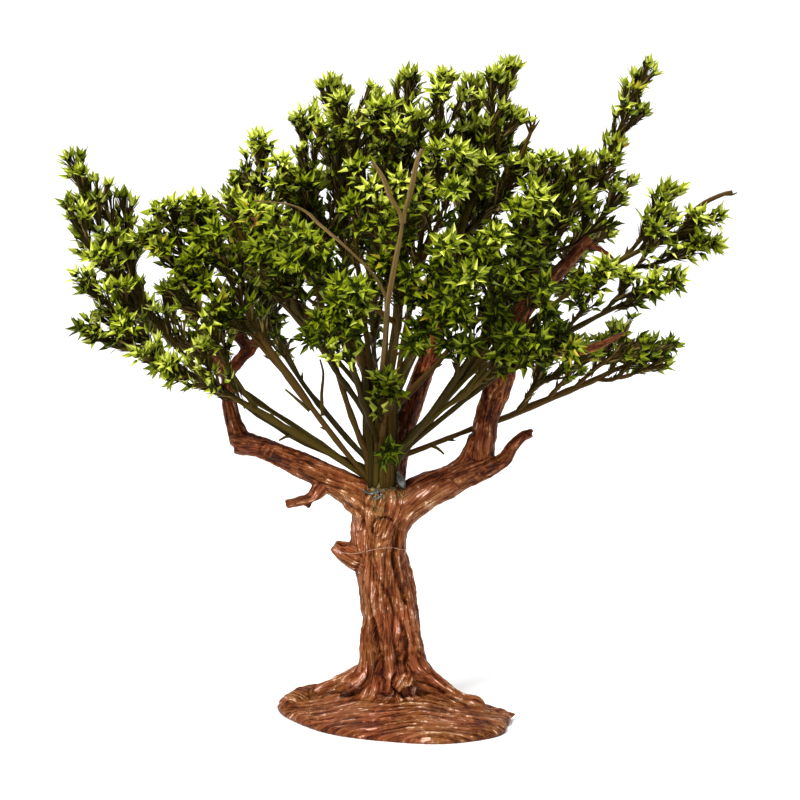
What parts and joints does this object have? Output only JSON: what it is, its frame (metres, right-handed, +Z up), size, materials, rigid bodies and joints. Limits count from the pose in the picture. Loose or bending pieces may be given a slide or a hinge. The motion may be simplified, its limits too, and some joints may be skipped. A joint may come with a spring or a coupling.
{
  "type": "model olive tree",
  "caption": "Artificial olive tree for a model landscape: a moulded trunk with boughs on an oval mound, with a fan of leafy sprays glued into its fork.",
  "frame": {"origin": "on the flat underside of the base, below the trunk", "axes": "+Z up, +X to the right of the front view, -Y to the front"},
  "size_m": [0.2031, 0.1253, 0.2014],
  "materials": {
    "moulded_bark": "glossy red-brown moulded bark",
    "hot_glue": "milky set glue",
    "stems": "satin dark olive stems",
    "foliage": "satin green artificial leaves"
  },
  "bodies": {
    "root": {"back_bough": "moulded_bark", "back_twig": "moulded_bark", "base": "moulded_bark", "glue": "hot_glue", "left_bough": "moulded_bark", "left_fork_right": "moulded_bark", "left_fork_stub": "moulded_bark", "left_fork_top": "moulded_bark", "left_riser": "moulded_bark", "left_twig_stub": "moulded_bark", "middle_bough": "moulded_bark", "middle_twig": "moulded_bark", "right_bough": "moulded_bark", "right_riser": "moulded_bark", "right_side_twig": "moulded_bark", "right_stub": "moulded_bark", "right_top": "moulded_bark", "right_top_twig": "moulded_bark", "root_back": "moulded_bark", "root_left": "moulded_bark", "root_right": "moulded_bark", "spray_back_left": "foliage", "spray_back_left_low": "foliage", "spray_back_left_up": "foliage", "spray_back_mid": "foliage", "spray_back_right": "foliage", "spray_back_right_low": "foliage", "spray_back_right_mid": "foliage", "spray_back_top": "foliage", "spray_back_top_left": "foliage", "spray_back_top_right": "foliage", "spray_far_left": "foliage", "spray_far_right": "foliage", "spray_front_left": "foliage", "spray_front_mid": "foliage", "spray_front_right": "foliage", "spray_front_tuft": "foliage", "spray_left_front": "foliage", "spray_left_high": "foliage", "spray_left_inner": "foliage", "spray_left_low": "foliage", "spray_left_mid": "foliage", "spray_right_front": "foliage", "spray_right_inner": "foliage", "spray_right_low": "foliage", "spray_right_mid": "foliage", "spray_right_tall": "foliage", "spray_top_centre": "foliage", "spray_top_left": "foliage", "spray_top_mid": "foliage", "spray_top_right": "foliage", "spray_upper_right": "foliage", "stem_bundle": "stems", "trunk": "moulded_bark", "trunk_stub": "moulded_bark"}
  },
  "joints": []
}
